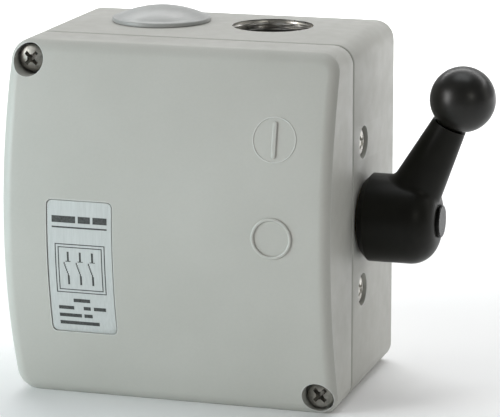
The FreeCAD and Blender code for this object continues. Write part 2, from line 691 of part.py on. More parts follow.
def contact_chamber(pole):
    x0 = pole_x(pole)
    x1 = x0 + POLE_PITCH
    middle = contact_x(pole)
    solid = shaft_box(x0, x1, -BLOCK_HALF_Y, BLOCK_HALF_Y, -BLOCK_HALF_Z, BLOCK_HALF_Z)
    cuts = [shaft_rod(CAVITY_R, x0 - 1, x1 - WEB), shaft_rod(ROTOR_R + CLEAR, x0, x1 + 1)]
    cuts += tie_holes(x0 - 1, x1 + 1)
    half_pocket = POCKET_WIDTH / 2
    for side in (-1, 1):
        low, high = sorted((side * POCKET_Z, side * (BLOCK_HALF_Z + 1)))
        cuts.append(shaft_box(middle - half_pocket, middle + half_pocket, -BLOCK_HALF_Y - 1,
                              POCKET_FLOOR_Y, low, high))
        low, high = sorted((side * (CAVITY_R - 1), side * (POCKET_Z + 1)))
        cuts.append(shaft_box(middle - CONTACT / 2, middle + CONTACT / 2, POCKET_FLOOR_Y - CONTACT,
                              BLADE_WIDTH / 2, low, high))
        floor_y = SHAFT_Y + POCKET_FLOOR_Y
        cuts.append(rod_y(middle, SHAFT_Z + side * TERMINAL_Z, TERMINAL_SCREW_R + 2 * CLEAR,
                          floor_y - 1, floor_y + TERMINAL_SCREW_LENGTH - 1))
    return solid.cut(cuts[0].multiFuse(cuts[1:]))


def fixed_contact(pole, side):
    """Contact strip with the terminal plate that it ends in; side is 1 at the top, -1 below."""
    middle = contact_x(pole)
    low, high = sorted((side * CONTACT_R, side * POCKET_Z))
    strip_x0 = middle - CONTACT / 2
    strip_x1 = middle + CONTACT / 2
    strip = shaft_box(strip_x0, strip_x1, -BLADE_WIDTH / 2, BLADE_WIDTH / 2, low, high)
    low, high = sorted((side * (CAVITY_R + 2 * CLEAR), side * (POCKET_Z + CONTACT / 2)))
    web = shaft_box(strip_x0, strip_x1, POCKET_FLOOR_Y - CONTACT, -BLADE_WIDTH / 2, low, high)
    low, high = sorted((side * POCKET_Z, side * (BLOCK_HALF_Z - 4 * CLEAR)))
    half_plate = POCKET_WIDTH / 2 - CLEAR
    plate = shaft_box(middle - half_plate, middle + half_plate, POCKET_FLOOR_Y - CONTACT, POCKET_FLOOR_Y,
                      low, high)
    solid = fuse([strip, web, plate])
    return solid.cut(rod_y(middle, SHAFT_Z + side * TERMINAL_Z, TERMINAL_SCREW_R + RUN_FIT, -FAR, 0))


def terminal_spots():
    return [(contact_x(pole), SHAFT_Z + side * TERMINAL_Z) for pole in range(POLES) for side in (1, -1)]


def terminal_clamps():
    y1 = SHAFT_Y + POCKET_FLOOR_Y - CONTACT
    return [grooved_clamp(x, z, y1, CLAMP_THICK, CLAMP_HALF, CLAMP_GROOVE_HALF, TERMINAL_SCREW_R)
            for x, z in terminal_spots()]


def terminal_screws():
    seat_y = SHAFT_Y + POCKET_FLOOR_Y - CONTACT - CLAMP_THICK
    return [domed_screw(Y_AXIS * -1, vec(x, seat_y, z), TERMINAL_HEAD_R, TERMINAL_HEAD, TERMINAL_SCREW_R,
                        TERMINAL_SCREW_LENGTH)
            for x, z in terminal_spots()]


def rotor(pole):
    x0 = pole_x(pole) + CLEAR
    x1 = pole_x(pole) + POLE_PITCH - CLEAR
    middle = contact_x(pole)
    solid = shaft_rod(ROTOR_R, x0, x1)
    for side in (-1, 1):
        low, high = sorted((side * BLADE_GAP / 2, side * (BLADE_GAP / 2 + BLADE)))
        solid = solid.cut(shaft_ring(ROTOR_R + 1, ROTOR_CORE_R, middle + low, middle + high))
    return solid.cut(shaft_square(SQUARE + RUN_FIT, 0, FAR))


def moving_contacts(pole):
    """Two parallel blades that clasp the fixed contacts when the switch is on."""
    middle = contact_x(pole)
    blades = []
    for side in (-1, 1):
        low, high = sorted((side * BLADE_GAP / 2, side * (BLADE_GAP / 2 + BLADE)))
        half = BLADE_WIDTH / 2
        bar = shaft_box(middle + low, middle + high, -half, half, -BLADE_TIP_R, BLADE_TIP_R)
        ring = shaft_rod(ROTOR_R - 3 * CLEAR, middle + low, middle + high)
        blades.append(fuse([bar, ring]).cut(shaft_rod(ROTOR_CORE_R, 0, FAR)))
    return blades


def end_plate():
    x1 = LATCH_X - POLES * POLE_PITCH
    x0 = x1 - END_PLATE
    solid = shaft_box(x0, x1, -BLOCK_HALF_Y, BLOCK_HALF_Y, -BLOCK_HALF_Z, BLOCK_HALF_Z)
    inner_edges = [edge for edge in solid.Edges if edge.BoundBox.XMax < x0 + 0.01]
    solid = solid.makeChamfer(END_PLATE_CHAMFER, inner_edges)
    cuts = [shaft_rod(PILOT_R + RUN_FIT, x0 - 1, x1 + 1)] + tie_holes(x0 - 1, x1 + 1)
    return solid.cut(cuts[0].multiFuse(cuts[1:]))


def tie_screws():
    seat_x = LATCH_X - POLES * POLE_PITCH - END_PLATE
    length = SIDE_PAD_X - 2 - seat_x
    return [domed_screw(X_AXIS * -1, vec(seat_x, SHAFT_Y + y, SHAFT_Z + z), TIE_HEAD_R, TIE_HEAD,
                        TIE_R, length)
            for y, z in tie_spots()]


def build():
    nodes = {
        "base_housing": base_housing(),
        "front_cover": front_cover(),
        "cover_gasket": cover_gasket(),
        "cover_screws": cover_screws(),
        "cover_screw_seals": cover_screw_seals(),
        "nameplate": nameplate(),
        "blanking_plug": blanking_plug(),
        "blanking_plug_seal": blanking_plug_seal(),
        "earth_screw": earth_screw(),
        "earth_clamp": earth_clamp(),
        "switch_shaft": switch_shaft(),
        "shaft_bush": shaft_bush(),
        "shaft_seal": shaft_seal(),
        "shaft_circlip": shaft_circlip(),
        "lever_handle": lever_handle(),
        "ball_knob": ball_knob(),
        "knob_stud": knob_stud(),
        "lever_screw": lever_screw(),
        "lever_cap": lever_cap(),
        "side_fixing_screws": side_fixing_screws(),
        "side_screw_seals": side_screw_seals(),
        "latch_housing": latch_housing(),
        "detent_wheel": detent_wheel(),
        "detent_springs": detent_springs(),
        "end_plate": end_plate(),
        "tie_screws": tie_screws(),
        "terminal_clamps": terminal_clamps(),
        "terminal_screws": terminal_screws(),
    }
    for pole in range(POLES):
        number = str(pole + 1)
        nodes["contact_chamber_" + number] = contact_chamber(pole)
        nodes["rotor_" + number] = rotor(pole)
        nodes["moving_contacts_" + number] = moving_contacts(pole)
        nodes["line_contact_" + number] = fixed_contact(pole, 1)
        nodes["load_contact_" + number] = fixed_contact(pole, -1)
    return nodes


os.makedirs("parts", exist_ok=True)
for name, made in build().items():
    shape = Part.makeCompound(made) if isinstance(made, list) else made
    if not shape.isValid():
        print("not valid:", name)
    print(name, "solids", len(shape.Solids), "volume", round(shape.Volume, 2))
    shape.exportStep("parts/" + name + ".step")
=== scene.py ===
import json
import math

import bmesh
import bpy
from mathutils import Matrix, Vector


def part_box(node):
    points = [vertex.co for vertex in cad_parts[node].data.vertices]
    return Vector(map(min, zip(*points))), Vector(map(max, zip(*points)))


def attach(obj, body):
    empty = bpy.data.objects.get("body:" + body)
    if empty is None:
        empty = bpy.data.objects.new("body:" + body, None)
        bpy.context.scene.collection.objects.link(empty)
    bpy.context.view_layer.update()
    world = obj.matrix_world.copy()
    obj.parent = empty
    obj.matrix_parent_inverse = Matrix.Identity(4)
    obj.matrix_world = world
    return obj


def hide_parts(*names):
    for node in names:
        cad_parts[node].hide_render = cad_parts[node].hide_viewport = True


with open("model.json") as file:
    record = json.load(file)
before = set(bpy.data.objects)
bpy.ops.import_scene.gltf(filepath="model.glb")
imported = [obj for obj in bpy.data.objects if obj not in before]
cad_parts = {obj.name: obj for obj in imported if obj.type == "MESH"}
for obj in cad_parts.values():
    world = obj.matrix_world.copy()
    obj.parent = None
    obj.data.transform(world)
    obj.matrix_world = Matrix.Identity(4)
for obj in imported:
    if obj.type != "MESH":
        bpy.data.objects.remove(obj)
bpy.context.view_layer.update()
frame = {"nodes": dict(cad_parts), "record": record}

# Sizes are in metres, in the row's frame: origin at the centre of the rear mounting face,
# -Y is the front, +X is the lever side and +Z is up.

MM = 0.001

# Sizes read from the frame
BASE_LOW, BASE_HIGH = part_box("base_housing")
PLATE_LOW, PLATE_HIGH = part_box("nameplate")
PLUG_LOW, PLUG_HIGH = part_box("blanking_plug")
BUSH_LOW, BUSH_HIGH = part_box("shaft_bush")
MOUNTS = {mount["name"]: mount for mount in frame["record"]["mounts"]}

WIDTH = BASE_HIGH.x - BASE_LOW.x
HEIGHT = BASE_HIGH.z - BASE_LOW.z
TOP_Z = BASE_HIGH.z
RIM_Y = BASE_LOW.y
COVER_RIM_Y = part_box("cover_gasket")[0].y
SHAFT = (BUSH_LOW + BUSH_HIGH) / 2
PLUG_CENTRE = (PLUG_LOW + PLUG_HIGH) / 2
ENTRY = Vector(MOUNTS["cable_entry"]["pos_m"])
ENTRY_R = MOUNTS["cable_entry"]["dims"]["r_mm"] * MM
FIXING_R = MOUNTS["wall_fixing"]["dims"]["hole_r_mm"] * MM
FIXING_X = MOUNTS["wall_fixing"]["dims"]["spacing_x_mm"] * MM / 2
FIXING_Z = MOUNTS["wall_fixing"]["dims"]["spacing_y_mm"] * MM / 2

# Enclosure details, the same as the CAD part's
CORNER_R = 5.5 * MM
BASE_WALL = 3.2 * MM
BACK_WALL = 4.0 * MM
COVER_WALL = 2.8 * MM
CROWN_R = 123.0 * MM
CROWN_TOP_Y = -71.0 * MM
EDGE_R = 4.0 * MM
EDGE_TURN = math.radians(56)
EDGE_INSET = EDGE_R * math.sin(EDGE_TURN)
EDGE_DROP = EDGE_R * (1 - math.cos(EDGE_TURN))
RIM_CHAMFER = 0.5 * MM
BACK_ROUND = 0.5 * MM
COUNTERBORE_R = 4.5 * MM
COUNTERBORE_FLOOR_Y = -56.0 * MM
COVER_POST_R = 5.3 * MM
SIDE_RECESS_R = 4.7 * MM
SIDE_RECESS_X = 44.0 * MM
ENTRY_BOSS_R = 15.0 * MM
ENTRY_LENGTH = 10.0 * MM
THREAD_PITCH = 1.5 * MM
THREAD_DEPTH = 0.75 * MM
# Depth over which painted shade darkens the cable entry's bore
PAINTED_SHADE_DEPTH = 5.0 * MM
PLATE_RECESS = 0.6 * MM
PLATE_GAP = 0.28 * MM
PLATE_SINK = 0.2 * MM
MARK_X = 31.2 * MM
MARK_ON_Z = 28.0 * MM
MARK_OFF_Z = 1.2 * MM
MARK_HEIGHT = 0.45 * MM
ON_BAR_WIDTH = 1.3 * MM
ON_BAR_LENGTH = 9.8 * MM
ON_RING_R = 6.2 * MM
ON_RING_WIDTH = 0.35 * MM
ON_RING_HEIGHT = 0.14 * MM
OFF_RING_R = 5.8 * MM
OFF_RING_WIDTH = 0.9 * MM
SCREW_HOLE_R = 2.65 * MM
SCREW_SHANK_R = 1.9 * MM
SEAL_HOLE_R = 1.95 * MM
BUSH_BORE_R = 9.0 * MM
PLUG_RIM = 1.3 * MM
PLUG_RIM_ROUND = 0.45 * MM
PLATE_CORNER_R = 1.5 * MM
PRINT_LIFT = 0.02 * MM
PRINT_THICKNESS = 0.06 * MM
EMBED = 0.15 * MM

X_AXIS = Vector((1, 0, 0))
Y_AXIS = Vector((0, 1, 0))
Z_AXIS = Vector((0, 0, 1))


# Mesh helpers --------------------------------------------------------------------------------

def mesh_object(name, verts, faces):
    """New mesh object with outward normals, linked to the scene."""
    mesh = bpy.data.meshes.new(name)
    mesh.from_pydata([tuple(v) for v in verts], [], faces)
    bm = bmesh.new()
    bm.from_mesh(mesh)
    bmesh.ops.recalc_face_normals(bm, faces=bm.faces)
    bm.to_mesh(mesh)
    bm.free()
    obj = bpy.data.objects.new(name, mesh)
    bpy.context.scene.collection.objects.link(obj)
    return obj


def skin(name, loops):
    """Closed skin over a list of equally long loops; each end closes onto its middle point."""
    count = len(loops[0])
    verts = [v for loop in loops for v in loop]
    faces = []
    for row in range(len(loops) - 1):
        for i in range(count):
            j = (i + 1) % count
            ahead = row + 1
            faces.append((row * count + i, row * count + j, ahead * count + j, ahead * count + i))
    for row, flip in ((0, True), (len(loops) - 1, False)):
        middle = sum((Vector(v) for v in loops[row]), Vector()) / count
        verts.append(middle)
        centre = len(verts) - 1
        for i in range(count):
            j = (i + 1) % count
            first, second = (j, i) if flip else (i, j)
            faces.append((row * count + first, row * count + second, centre))
    return mesh_object(name, verts, faces)


def lathe(name, profile, origin, axis, segments=96):
    """Solid of revolution; the profile is (radius, height along axis), from axis to axis."""
    side = axis.orthogonal().normalized()
    other = axis.cross(side).normalized()
    loops = []
    for radius, height in profile:
        loop = []
        for i in range(segments):
            angle = 2 * math.pi * i / segments
            spoke = side * math.cos(angle) + other * math.sin(angle)
            loop.append(origin + axis * height + spoke * max(radius, 1e-6))
        loops.append(loop)
    return skin(name, loops)


def arc(centre, radius, start, end, steps):
    """Points on an arc of a (radius, height) profile; angles in degrees."""
    points = []
    for i in range(steps + 1):
        angle = math.radians(start + (end - start) * i / steps)
        points.append((centre[0] + radius * math.cos(angle), centre[1] + radius * math.sin(angle)))
    return points


def rod(name, origin, axis, radius, length, segments=96):
    """Plain cylinder, used as a cutting or joining tool."""
    return lathe(name, [(0, 0), (radius, 0), (radius, length), (0, length)], origin, axis, segments)


def outline(width, height, radius, x=0.0, z=0.0, side_steps=26, corner_steps=10):
    """Rounded rectangle as (x, z) points, with evenly spread points on its sides."""
    radius = max(radius, 0.05 * MM)
    half_w = width / 2 - radius
    half_h = height / 2 - radius
    corners = ((half_w, half_h, 0), (-half_w, half_h, 90), (-half_w, -half_h, 180),
               (half_w, -half_h, 270))
    points = []
    for index, (cx, cz, start) in enumerate(corners):
        for i in range(corner_steps + 1):
            angle = math.radians(start + 90 * i / corner_steps)
            points.append((x + cx + radius * math.cos(angle), z + cz + radius * math.sin(angle)))
        ahead_x, ahead_z, ahead_start = corners[(index + 1) % 4]
        angle = math.radians(ahead_start)
        target = (x + ahead_x + radius * math.cos(angle), z + ahead_z + radius * math.sin(angle))
        last = points[-1]
        for i in range(1, side_steps):
            share = i / side_steps
            points.append((last[0] + (target[0] - last[0]) * share,
                           last[1] + (target[1] - last[1]) * share))
    return points


def crown_y(z, inset=0.0):
    """Y of the crowned front at height z; inset moves it into the wall."""
    return CROWN_TOP_Y + CROWN_R - math.sqrt((CROWN_R - inset) ** 2 - z * z)


def at_y(points, y):
    return [Vector((px, y, pz)) for px, pz in points]


def on_crown(points, inset=0.0, drop=0.0):
    """Lays (x, z) points on the crowned front."""
    return [Vector((px, crown_y(pz, inset) + drop, pz)) for px, pz in points]


def shrunk(points, share, centre=(0.0, 0.0)):
    return [(centre[0] + (px - centre[0]) * share, centre[1] + (pz - centre[1]) * share)
            for px, pz in points]


def cap_loops(points, inset=0.0, rings=22, centre=(0.0, 0.0), drop=0.0):
    """Loops that shrink towards the middle, all lying on the crowned front."""
    return [on_crown(shrunk(points, 1 - i / rings, centre), inset, drop) for i in range(1, rings)]


def boolean(target, tool, operation):
    """Joins or cuts with a tool mesh, which is then removed."""
    modifier = target.modifiers.new("cut", "BOOLEAN")
    modifier.object = tool
    modifier.operation = operation
    modifier.solver = "EXACT"
    bake(target)
    bpy.data.objects.remove(tool)
    return target


def bake(obj):
    """Replaces an object's mesh by its modified one."""
    depsgraph = bpy.context.evaluated_depsgraph_get()
    mesh = bpy.data.meshes.new_from_object(obj.evaluated_get(depsgraph))
    obj.modifiers.clear()
    obj.data = mesh


def soften(obj, width=0.2 * MM, segments=3, angle=32):
    """Small rounded edges and smooth shading that stays crisp at the corners."""
    obj.data.shade_smooth()
    bevel = obj.modifiers.new("edge_round", "BEVEL")
    bevel.width = width
    bevel.segments = segments
    bevel.limit_method = "ANGLE"
    bevel.angle_limit = math.radians(angle)
    bevel.use_clamp_overlap = True
    bevel.harden_normals = True
    return obj


def smooth_cad(node, angle=35):
    """Shading for a kept CAD node: smooth on curved faces, crisp at real edges."""
    obj = frame["nodes"][node]
    mesh = obj.data
    mesh.shade_smooth()
    mesh.set_sharp_from_angle(angle=math.radians(angle))
    return obj


def dress(obj, name, body, material, replaces=()):
    """Names a piece, gives it its material and body, and hides the CAD nodes it stands for."""
    obj.name = name
    obj.data.name = name
    if not obj.data.materials:
        obj.data.materials.append(material)
    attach(obj, body)
    if replaces:
        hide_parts(*replaces)
    return obj


# Materials -------------------------------------------------------------------------------------

class Nodes:
    """Short way to build a node material."""

    def __init__(self, name):
        self.material = bpy.data.materials.new(name)
        self.material.use_nodes = True
        self.tree = self.material.node_tree
        self.shader = self.tree.nodes["Principled BSDF"]
        self.coords = self.tree.nodes.new("ShaderNodeTexCoord").outputs["Object"]

    def node(self, kind, **settings):
        made = self.tree.nodes.new(kind)
        for key, value in settings.items():
            setattr(made, key, value)
        return made

    def link(self, source, target):
        self.tree.links.new(source, target)

    def noise(self, scale, detail=4.0, roughness=0.5, stretch=None):
        """Noise in metres: scale is in cells per metre."""
        noise = self.node("ShaderNodeTexNoise")
        noise.inputs["Scale"].default_value = scale
        noise.inputs["Detail"].default_value = detail
        noise.inputs["Roughness"].default_value = roughness
        source = self.coords
        if stretch:
            mapping = self.node("ShaderNodeMapping")
            mapping.inputs["Scale"].default_value = stretch
            self.link(self.coords, mapping.inputs["Vector"])
            source = mapping.outputs["Vector"]
        self.link(source, noise.inputs["Vector"])
        return noise.outputs["Fac"]

    def ramp(self, factor, low, high, low_at=0.35, high_at=0.65):
        ramp = self.node("ShaderNodeValToRGB")
        ramp.color_ramp.elements[0].position = low_at
        ramp.color_ramp.elements[0].color = (*low, 1)
        ramp.color_ramp.elements[1].position = high_at
        ramp.color_ramp.elements[1].color = (*high, 1)
        self.link(factor, ramp.inputs["Fac"])
        return ramp.outputs["Color"]

    def span(self, factor, low, high, low_in=0.3, high_in=0.7):
        spread = self.node("ShaderNodeMapRange")
        spread.inputs["From Min"].default_value = low_in
        spread.inputs["From Max"].default_value = high_in
        spread.inputs["To Min"].default_value = low
        spread.inputs["To Max"].default_value = high
        self.link(factor, spread.inputs["Value"])
        return spread.outputs["Result"]

    def mix(self, factor, first, second, blend="MIX"):
        mix = self.node("ShaderNodeMix", data_type="RGBA", blend_type=blend)
        if isinstance(factor, float):
            mix.inputs["Factor"].default_value = factor
        else:
            self.link(factor, mix.inputs["Factor"])
        for value, socket in ((first, mix.inputs["A"]), (second, mix.inputs["B"])):
            if isinstance(value, tuple):
                socket.default_value = (*value, 1)
            else:
                self.link(value, socket)
        return mix.outputs["Result"]

    def bump(self, layers):
        """Chains bump layers, each (height, strength, distance)."""
        normal = None
        for height, strength, distance in layers:
            bump = self.node("ShaderNodeBump")
            bump.inputs["Strength"].default_value = strength
            bump.inputs["Distance"].default_value = distance
            self.link(height, bump.inputs["Height"])
            if normal is not None:
                self.link(normal, bump.inputs["Normal"])
            normal = bump.outputs["Normal"]
        self.link(normal, self.shader.inputs["Normal"])

    def edges(self, radius):
        """Mask that is 1 on outer edges, where a painted edge highlight goes: how far the rounded
        normal leaves the true one.
        """
        bevel = self.node("ShaderNodeBevel", samples=6)
        bevel.inputs["Radius"].default_value = radius
        true_normal = self.node("ShaderNodeNewGeometry").outputs["Normal"]
        dot = self.node("ShaderNodeVectorMath", operation="DOT_PRODUCT")
        self.link(bevel.outputs["Normal"], dot.inputs[0])
        self.link(true_normal, dot.inputs[1])
        return self.span(dot.outputs["Value"], 1.0, 0.0, 0.90, 0.995)

    def set(self, **values):
        for key, value in values.items():
            self.shader.inputs[key.replace("_", " ")].default_value = value


def grey_paint():
    """Satin grey stove enamel on a die casting: fine orange peel, faint cloudiness, and a painted
    highlight that makes the edges paler.
    """
    n = Nodes("enclosure_paint")
    cloud = n.noise(28.0, 3.0, 0.5)
    speck = n.noise(1400.0, 2.0, 0.6)
    base = n.ramp(cloud, (0.434, 0.432, 0.398), (0.460, 0.458, 0.424))
    grain = n.ramp(speck, (0.90, 0.90, 0.90), (1.0, 1.0, 1.0), 0.25, 0.75)
    body = n.mix(0.3, base, grain, "MULTIPLY")
    # Painted highlight: the outer edges are blended towards a pale grey to stand in for light catching
    # them.
    painted_edge_highlight = n.mix(n.edges(0.45 * MM), body, (0.66, 0.67, 0.66))
    n.link(n.mix(0.7, body, painted_edge_highlight), n.shader.inputs["Base Color"])
    n.link(n.span(n.noise(240.0, 3.0), 0.40, 0.56), n.shader.inputs["Roughness"])
    n.bump([(n.noise(520.0, 2.0, 0.5), 0.10, 0.05 * MM), (speck, 0.10, 0.02 * MM)])
    n.set(Metallic=0.0, Specular_IOR_Level=0.45)
    return n.material


def bare_casting():
    """Tapped aluminium in the cable entry, darkened by painted shade further down the bore."""
    n = Nodes("tapped_aluminium")
    bright = n.ramp(n.noise(300.0, 3.0, 0.6, (1, 1, 6)), (0.60, 0.58, 0.54), (0.82, 0.81, 0.78))
    split = n.node("ShaderNodeSeparateXYZ")
    n.link(n.coords, split.inputs["Vector"])
    # Painted shade: the bore colour turns near-black towards the bottom, where little light reaches
    # down the entry.
    depth = n.span(split.outputs["Z"], 1.0, 0.0, TOP_Z - PAINTED_SHADE_DEPTH, TOP_Z - PAINTED_SHADE_DEPTH / 3)
    n.link(n.mix(depth, bright, (0.045, 0.040, 0.032)), n.shader.inputs["Base Color"])
    n.link(n.span(n.noise(500.0, 3.0), 0.26, 0.40), n.shader.inputs["Roughness"])
    n.bump([(n.noise(900.0, 2.0, 0.5, (1, 1, 6)), 0.05, 0.01 * MM)])
    n.set(Metallic=1.0)
    return n.material


def plated_screw(name, tint=(0.34, 0.325, 0.295), rough=(0.42, 0.58)):
    """Zinc-plated steel with faint turning marks and a darker film in patches."""
    n = Nodes(name)
    patch = n.noise(700.0, 4.0, 0.6)
    dark = tuple(value * 0.62 for value in tint)
    n.link(n.ramp(patch, dark, tint, 0.30, 0.62), n.shader.inputs["Base Color"])
    n.link(n.span(n.noise(2200.0, 3.0), *rough), n.shader.inputs["Roughness"])
    n.bump([(n.noise(3200.0, 2.0), 0.10, 0.01 * MM)])
    n.set(Metallic=1.0)
    return n.material


def black_moulding(name, tone=(0.0062, 0.0061, 0.0044), rough=(0.32, 0.42), level=0.15):
    """Black thermoset: slightly cloudy half-gloss, faint flow marks and a painted highlight that makes
    the edges greyer.
    """
    n = Nodes(name)
    pale = tuple(value * 1.5 + 0.0008 for value in tone)
    body = n.ramp(n.noise(160.0, 5.0, 0.6), tone, pale, 0.30, 0.80)
    # Painted highlight: the outer edges are blended towards a paler grey to stand in for light catching
    # them.
    painted_edge_highlight = n.mix(n.edges(0.4 * MM), body, tuple(value * 2.5 + 0.006 for value in tone))
    n.link(painted_edge_highlight, n.shader.inputs["Base Color"])
    smear = n.noise(90.0, 6.0, 0.65, (1, 1, 2.5))
    n.link(n.span(smear, *rough), n.shader.inputs["Roughness"])
    n.bump([(n.noise(260.0, 3.0, 0.5), 0.08, 0.06 * MM), (n.noise(1800.0, 2.0), 0.05, 0.01 * MM)])
    n.set(Metallic=0.0, Specular_IOR_Level=level)
    return n.material


def grey_plastic():
    """Moulded grey plug: smooth, slightly glossier than the paint."""
    n = Nodes("plug_plastic")
    n.link(n.ramp(n.noise(120.0, 4.0), (0.352, 0.360, 0.350), (0.382, 0.390, 0.380)),
           n.shader.inputs["Base Color"])
    n.link(n.span(n.noise(400.0, 3.0), 0.30, 0.42), n.shader.inputs["Roughness"])
    n.bump([(n.noise(900.0, 2.0), 0.06, 0.02 * MM)])
    n.set(Metallic=0.0)
    return n.material


def foil():
    """Silvery printed foil with a fine brushed grain along its length."""
    n = Nodes("plate_foil")
    grain = n.noise(2400.0, 3.0, 0.6, (1, 1, 0.05))
    n.link(n.ramp(grain, (0.48, 0.50, 0.49), (0.535, 0.555, 0.545)), n.shader.inputs["Base Color"])
    n.link(n.span(grain, 0.38, 0.5), n.shader.inputs["Roughness"])
    n.bump([(grain, 0.05, 0.01 * MM)])
    n.set(Metallic=0.15)
    return n.material


def ink():
    """Dark print on the plate, slightly uneven."""
    n = Nodes("plate_ink")
    n.link(n.ramp(n.noise(1800.0, 4.0, 0.6), (0.022, 0.024, 0.023), (0.062, 0.066, 0.063)),
           n.shader.inputs["Base Color"])
    n.link(n.span(n.noise(2500.0, 2.0), 0.45, 0.65), n.shader.inputs["Roughness"])
    n.set(Metallic=0.0)
    return n.material


def plain_moulding(name, low, high, rough=(0.42, 0.6), scale=300.0, metallic=0.0):
    """Inner parts: a colour that drifts a little, with a fine moulded or drawn surface."""
    n = Nodes(name)
    n.link(n.ramp(n.noise(scale, 4.0), low, high), n.shader.inputs["Base Color"])
    n.link(n.span(n.noise(scale * 4, 3.0), *rough), n.shader.inputs["Roughness"])
    n.bump([(n.noise(scale * 5, 2.0), 0.10, 0.02 * MM)])
    n.set(Metallic=metallic)
    return n.material


MATERIALS = {
    "enclosure_paint": grey_paint(),
    "tapped_aluminium": bare_casting(),
    "screw_steel": plated_screw("screw_steel"),
    "bright_steel": plated_screw("bright_steel", (0.78, 0.76, 0.71), (0.38, 0.52)),
    "terminal_steel": plated_screw("terminal_steel", (0.70, 0.67, 0.60), (0.28, 0.45)),
    "shaft_steel": plated_screw("shaft_steel", (0.58, 0.58, 0.57), (0.20, 0.36)),
    "spring_steel": plated_screw("spring_steel", (0.45, 0.45, 0.47), (0.25, 0.4)),
    "lever_plastic": black_moulding("lever_plastic"),
    "knob_plastic": black_moulding("knob_plastic", (0.0048, 0.0046, 0.0032), (0.30, 0.40), 0.42),
    "cap_plastic": black_moulding("cap_plastic", (0.0030, 0.0030, 0.0026), (0.24, 0.34), 0.16),
    "plug_plastic": grey_plastic(),
    "plate_foil": foil(),
    "plate_ink": ink(),
    "seal_rubber": plain_moulding("seal_rubber", (0.012, 0.012, 0.012), (0.028, 0.028, 0.028),
                                  (0.6, 0.85)),
    "switch_plastic": plain_moulding("switch_plastic", (0.030, 0.030, 0.033), (0.055, 0.055, 0.060)),
    "cam_plastic": plain_moulding("cam_plastic", (0.62, 0.60, 0.53), (0.74, 0.72, 0.65)),
    "rotor_plastic": plain_moulding("rotor_plastic", (0.30, 0.05, 0.03), (0.42, 0.09, 0.05)),
    "brass_parts": plain_moulding("brass_parts", (0.60, 0.43, 0.18), (0.78, 0.60, 0.30),
                                  (0.22, 0.4), 500.0, 1.0),
    "bush_brass": plain_moulding("bush_brass", (0.58, 0.42, 0.18), (0.74, 0.57, 0.29),
                                 (0.2, 0.36), 500.0, 1.0),
    "contact_copper": plain_moulding("contact_copper", (0.66, 0.42, 0.30), (0.86, 0.62, 0.46),
                                     (0.2, 0.4), 600.0, 1.0),
}


# Enclosure -------------------------------------------------------------------------------------

def side_inset(inset):
    """The enclosure's outline seen from the front, moved inwards."""
    return outline(WIDTH - 2 * inset, HEIGHT - 2 * inset, CORNER_R - inset)


def cover_outer(shrink=0.0):
    """Outer solid of the cover: rim chamfer, sides, rounded shoulder and crowned front."""
    rim_y = COVER_RIM_Y - shrink
    loops = [at_y(shrunk(side_inset(RIM_CHAMFER + shrink), 0.5), rim_y)]
    for i in range(4):
        turn = math.radians(30 * i)
        ring = side_inset(RIM_CHAMFER * (1 - math.sin(turn)) + shrink)
        loops.append(at_y(ring, rim_y - RIM_CHAMFER * (1 - math.cos(turn))))
    start = rim_y - RIM_CHAMFER
    for share in (0.33, 0.66):
        loops.append([Vector((px, start + (crown_y(pz, shrink) + EDGE_DROP - start) * share, pz))
                      for px, pz in side_inset(shrink)])
    steps = 10
    for i in range(steps + 1):
        turn = EDGE_TURN * (1 - i / steps)
        ring = side_inset(EDGE_INSET - EDGE_R * math.sin(turn) + shrink)
        loops.append(on_crown(ring, shrink, EDGE_R * (1 - math.cos(turn))))
    loops += cap_loops(side_inset(EDGE_INSET + shrink), shrink)
    return skin("cover_outer", loops)


def cover_inner():
    """Hollow of the cover, open at the rim, with a small round under the crown."""
    ring = side_inset(COVER_WALL)
    back = COVER_RIM_Y + 1 * MM
    loops = [at_y(shrunk(ring, 0.5), back), at_y(ring, back), on_crown(ring, COVER_WALL, 1.2 * MM),
             on_crown(side_inset(COVER_WALL + 0.6 * MM), COVER_WALL, 0.3 * MM),
             on_crown(side_inset(COVER_WALL + 1.2 * MM), COVER_WALL)]
    loops += cap_loops(side_inset(COVER_WALL + 1.2 * MM), COVER_WALL)
    return skin("cover_inner", loops)


def plate_tool():
    """Rounded bar that sinks the nameplate recess to an even depth under the crown."""
    width = PLATE_HIGH.x - PLATE_LOW.x + 2 * PLATE_GAP
    height = PLATE_HIGH.z - PLATE_LOW.z + 2 * PLATE_GAP
    centre = plate_centre()
    ring = outline(width, height, 1.6 * MM, *centre, side_steps=10, corner_steps=6)
    front = CROWN_TOP_Y - 5 * MM
    loops = [at_y(shrunk(ring, 0.5, centre), front), at_y(ring, front),
             on_crown(ring, 0, PLATE_RECESS)]
    loops += cap_loops(ring, 0, 8, centre, PLATE_RECESS)
    return skin("plate_tool", loops)


def plate_centre():
    middle = (PLATE_LOW + PLATE_HIGH) / 2
    return middle.x, middle.z


def split_box(node):
    """Boxes of the separate solids of a CAD node that holds a group, from its loose parts."""
    bm = bmesh.new()
    bm.from_mesh(frame["nodes"][node].data)
    bmesh.ops.remove_doubles(bm, verts=bm.verts, dist=1e-7)
    seen = set()
    boxes = []
    for start in bm.verts:
        if start in seen:
            continue
        stack = [start]
        seen.add(start)
        found = []
        while stack:
            vert = stack.pop()
            found.append(vert.co.copy())
            for edge in vert.link_edges:
                other = edge.other_vert(vert)
                if other not in seen:
                    seen.add(other)
                    stack.append(other)
        low = Vector(min(v[i] for v in found) for i in range(3))
        high = Vector(max(v[i] for v in found) for i in range(3))
        boxes.append((low, high))
    bm.free()
    return boxes


